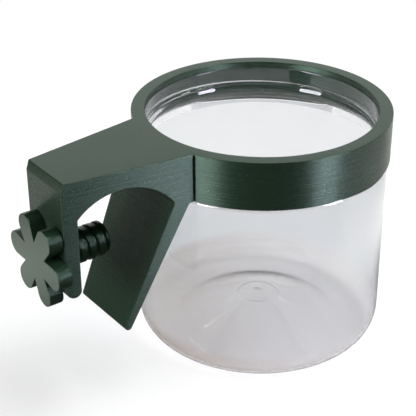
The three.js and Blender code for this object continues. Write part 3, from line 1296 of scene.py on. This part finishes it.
@dataclass
class Studio:
    """The plain pale floor, the soft lights and the camera.

    The camera sees white round the cup, also through the jar. Only what the plastic mirrors is graded,
    with painted light and shade on the floor: a glowing patch near the cup with a painted shadow under
    the cup, a dark one in front of it, and a bright wall behind it. A fade gives where a share is 0 and
    where it is 1, in metres for a place and as a cosine for a direction.
    """

    floor_size: float = 6.0
    floor_drop: float = 0.05 * MM
    shadow_share: float = 0.6
    shadow_fade: Point = (0.40, 0.13)
    paper: tuple = (0.9, 0.9, 0.9, 1)
    bounce: tuple = (0.30, 0.30, 0.30, 1)
    mirror_share: float = 0.9
    dark_floor: tuple = (0.06, 0.06, 0.062, 1)
    near_floor: tuple = (1.25, 1.25, 1.2, 1)
    near_fade: Point = (0.22, 0.14)
    # Painted shadow under the cup, seen only in reflections: where the floor's glow fades out.
    under_shadow_fade: Point = (0.09, 0.135)
    front_fade: Point = (-0.075, -0.015)
    room: tuple = (0.22, 0.22, 0.22, 1)
    front_room: tuple = (0.04, 0.04, 0.043, 1)
    back_room: tuple = (0.95, 0.95, 0.97, 1)
    back_fade: Point = (0.38, 0.80)
    top_fade: Point = (0.75, 0.50)
    camera_place: tuple = (-0.21435, -0.2912, 0.2520)
    camera_heading: float = math.radians(36.357)
    camera_pitch: float = math.radians(28.671)
    camera_roll: float = -0.0025
    lens: float = 100.55
    sensor: float = 36.0
    nearest: float = 0.01
    furthest: float = 20.0
    aim: Vector = field(default_factory=lambda: Vector((0, 0, 0.05)))
    boxes: list[SoftBox] = field(
        default_factory=lambda: [
            SoftBox(
                "overhead",
                bearing=95,
                elevation=66,
                distance=1.2,
                width=0.9,
                height=0.9,
                radiance=7.4,
                shows_in_gloss=False,
            ),
            SoftBox(
                "left_fill",
                bearing=-60,
                elevation=6,
                distance=1.2,
                width=0.5,
                height=0.5,
                radiance=18.0,
                shows_in_gloss=False,
            ),
            SoftBox(
                "right_card",
                bearing=62,
                elevation=20,
                distance=0.37,
                width=0.11,
                height=0.27,
                radiance=24.0,
                colour=(0.84, 0.80, 1.0),
                lights_surfaces=False,
            ),
            SoftBox(
                "left_card",
                bearing=-54,
                elevation=20,
                distance=2.0,
                width=0.78,
                height=1.4,
                radiance=19.0,
                colour=(0.92, 0.92, 1.0),
                lights_surfaces=False,
            ),
            SoftBox(
                "strip",
                bearing=90,
                elevation=48,
                distance=1.2,
                width=0.60,
                height=0.08,
                radiance=60.0,
                colour=(0.90, 1.0, 0.98),
                lights_surfaces=False,
            ),
        ]
    )

    def away(self) -> Vector:
        """The level direction in which the camera looks."""
        return Vector((math.sin(self.camera_heading), math.cos(self.camera_heading), 0))

    def floor(self) -> bpy.types.Object:
        """A white floor that keeps the cup's soft shadow, and stays under the jar as it comes down.

        Returns:
            The floor.
        """
        half = self.floor_size / 2
        mesh = bpy.data.meshes.new("floor")
        corners = [(-half, -half), (half, -half), (half, half), (-half, half)]
        mesh.from_pydata([(x, y, -self.floor_drop) for x, y in corners], [], [(0, 1, 2, 3)])
        obj = bpy.data.objects.new("floor", mesh)
        bpy.context.scene.collection.objects.link(obj)
        material = bpy.data.materials.new("white_floor")
        graph = Graph(material)
        seen = graph.path("Camera", "Transmission")
        mirrored = graph.mirrored()
        place = graph.node("ShaderNodeTexCoord", output="Object")
        distance = graph.node("ShaderNodeVectorMath", {"operation": "LENGTH"}, {0: place}, "Value")
        depth = graph.dot(place, self.away())
        # Painted light and shade seen only in reflections: the floor glows near the cup, has a painted
        # shadow under the cup and is dark in front of it.
        beside = distance.ramp(*self.near_fade) * distance.ramp(*self.under_shadow_fade)
        behind = (depth / distance).ramp(*self.back_fade)
        lit = (beside | behind) * depth.ramp(*self.front_fade)
        graded = graph.mix(lit, self.dark_floor, self.near_floor)
        white = graph.mix(seen, self.bounce, self.paper)
        paper = graph.node("ShaderNodeBsdfDiffuse", inputs={"Color": white})
        shown = graph.mix(mirrored, WHITE, graded)
        glow = graph.node("ShaderNodeEmission", inputs={"Color": shown})
        shadow = distance.ramp(*self.shadow_fade) * self.shadow_share
        share = (seen * (1 - shadow)) | (mirrored * self.mirror_share)
        shader = graph.node("ShaderNodeMixShader", inputs={0: share, 1: paper, 2: glow})
        graph.node("ShaderNodeOutputMaterial", inputs={"Surface": shader})
        mesh.materials.append(material)
        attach(obj, Body.JAR_TRAVEL.value)
        return obj

    def world(self) -> None:
        """White to the camera and through the jar; in reflections, a dark room with a bright back wall."""
        world = bpy.data.worlds.new("studio")
        bpy.context.scene.world = world
        graph = Graph(world)
        direction = graph.node("ShaderNodeTexCoord", output="Generated")
        height = graph.node("ShaderNodeSeparateXYZ", inputs={0: direction}, output="Z")
        back = graph.dot(direction, self.away()).ramp(*self.back_fade) * height.ramp(*self.top_fade)
        graded = graph.mix(back, self.front_room, self.back_room)
        plain = graph.mix(graph.path("Camera", "Transmission"), self.room, WHITE)
        colour = graph.mix(graph.mirrored(), plain, graded)
        background = graph.node("ShaderNodeBackground", inputs={"Color": colour})
        graph.node("ShaderNodeOutputWorld", inputs={"Surface": background})

    def camera(self) -> None:
        """The photograph's view."""
        data = bpy.data.cameras.new("camera")
        data.lens = self.lens
        data.sensor_width = self.sensor
        data.clip_start = self.nearest
        data.clip_end = self.furthest
        obj = bpy.data.objects.new("camera", data)
        turn = Matrix.Rotation(-self.camera_heading, 4, "Z")
        tilt = Matrix.Rotation(QUARTER - self.camera_pitch, 4, "X")
        roll = Matrix.Rotation(self.camera_roll, 4, "Z")
        obj.matrix_world = Matrix.Translation(self.camera_place) @ turn @ tilt @ roll
        bpy.context.scene.collection.objects.link(obj)
        bpy.context.scene.camera = obj

    def build(self) -> None:
        """Builds the stage."""
        self.floor()
        self.world()
        self.camera()
        for box in self.boxes:
            box.hang(self.camera_heading, self.aim)
        bpy.context.scene.view_settings.view_transform = "Standard"


def main() -> None:
    """Builds the cup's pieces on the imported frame, and the studio round them."""
    logging.basicConfig(level=logging.INFO, format="%(message)s")
    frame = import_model()
    sizes = PackedSizes.read(frame["joints"])
    placing = sizes.placing()
    green = PrintedPlastic("green_print", Axis.Z).make()
    knob_green = PrintedPlastic("green_print_knob", Axis.X, roughness=0.2).make()
    clear = ClearPlastic("clear_plastic", sizes.ring_x).make()
    screw = Thumbscrew(sizes, placing)
    thread = NeckThread()
    for piece in (
        ClampBracket(sizes, placing, screw, thread).build(green),
        screw.build(knob_green),
        Jar(sizes, placing, thread).build(clear),
    ):
        log.info("%s has %d faces", piece.name, len(piece.data.polygons))
    Studio().build()


if __name__ == "__main__":
    main()
